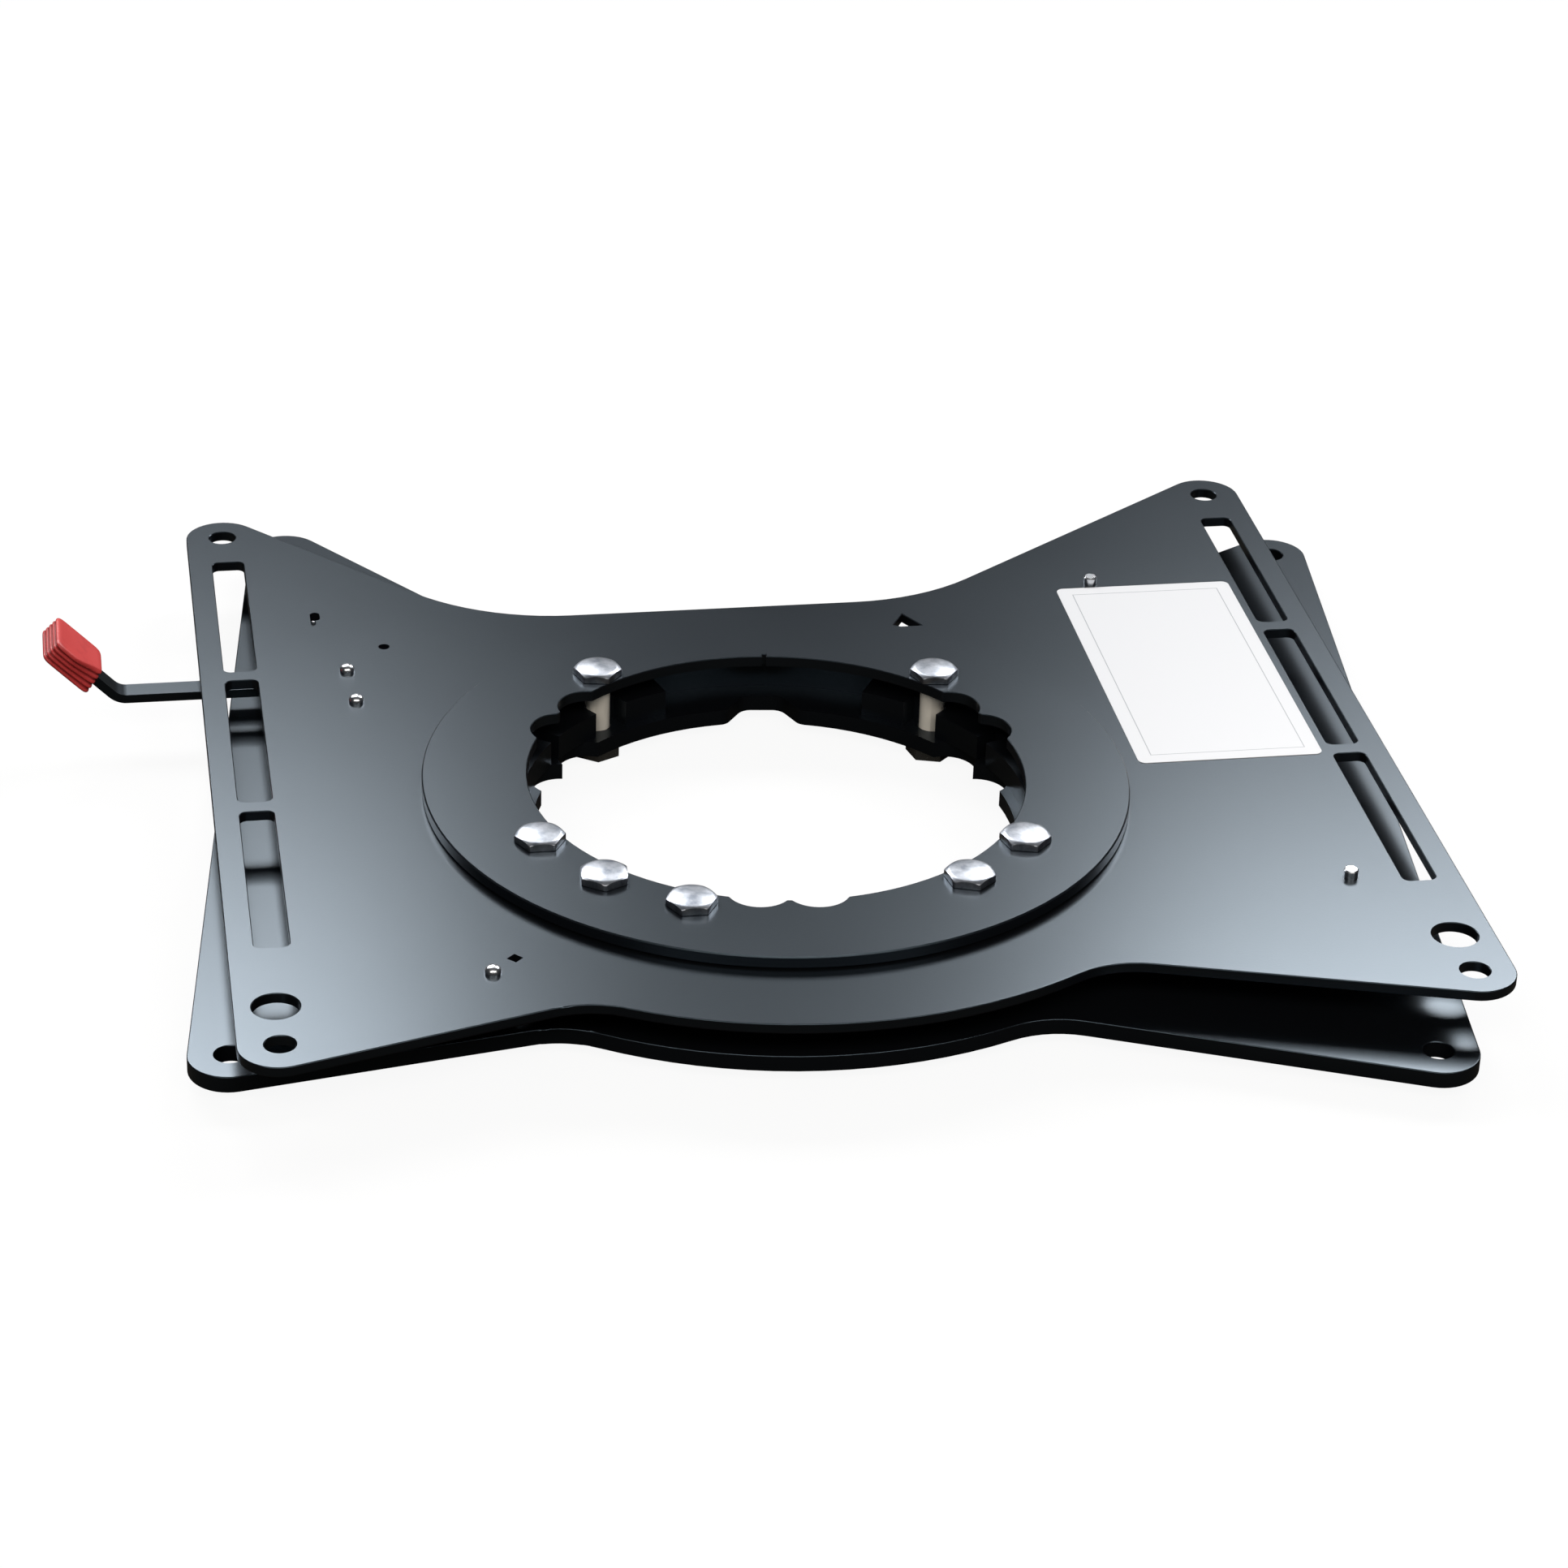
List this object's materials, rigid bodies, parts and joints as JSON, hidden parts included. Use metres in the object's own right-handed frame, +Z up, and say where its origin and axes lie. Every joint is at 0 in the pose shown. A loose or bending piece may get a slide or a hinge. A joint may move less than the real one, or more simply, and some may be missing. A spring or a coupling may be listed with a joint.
{
  "type": "swivel seat base",
  "caption": "Swivel plate for a camper seat: two butterfly-shaped steel plates on a slide bearing, with a red-gripped lock lever.",
  "frame": {"origin": "middle of the four base bolt holes, on the underside of the lower plate", "axes": "+Z up towards the seat, +Y towards the plates' straight back edge, +X to the right seen from the front; the lower plate is square to the axes and the top plate is stored turned 6.3 degrees anticlockwise seen from above"},
  "size_m": [0.5461, 0.4716, 0.0497],
  "materials": {
    "black_paint": "semi-gloss",
    "slide_plastic": "matt",
    "zinc": "bright zinc plate",
    "spring_steel": "satin",
    "white_label": "satin",
    "red_plastic": "satin"
  },
  "bodies": {
    "fixed_base": {"lower_plate": "black_paint", "index_ring": "black_paint", "hub_ring": "black_paint", "lower_slide_ring": "slide_plastic", "upper_slide_ring": "slide_plastic", "clamp_ring": "black_paint", "ring_bolts": "zinc", "ring_washers": "zinc", "ring_nuts": "zinc"},
    "swivel": {"top_plate": "black_paint", "lever_keeper": "black_paint", "pivot_rivet": "zinc", "keeper_rivet": "zinc", "plain_rivet": "zinc", "back_stud": "zinc", "front_stud": "zinc", "pivot_bush": "zinc", "keeper_sleeve": "zinc", "return_spring": "spring_steel", "label": "white_label"},
    "release_lever": {"lever": "black_paint", "lever_grip": "red_plastic"}
  },
  "joints": [
    {"name": "swivel_turn", "type": "hinge", "parent": "fixed_base", "child": "swivel", "pos_m": [-0.0146, -0.0369, 0.0219], "axis": [0, 0, 1], "continuous": true},
    {"name": "lever_release", "type": "hinge", "parent": "swivel", "child": "release_lever", "pos_m": [-0.18108, 0.05489, 0.0144], "axis": [0, 0, 1], "range_deg": [0, 6], "stiffness_Nm_per_rad": 0.8, "springref_deg": -14.32}
  ]
}
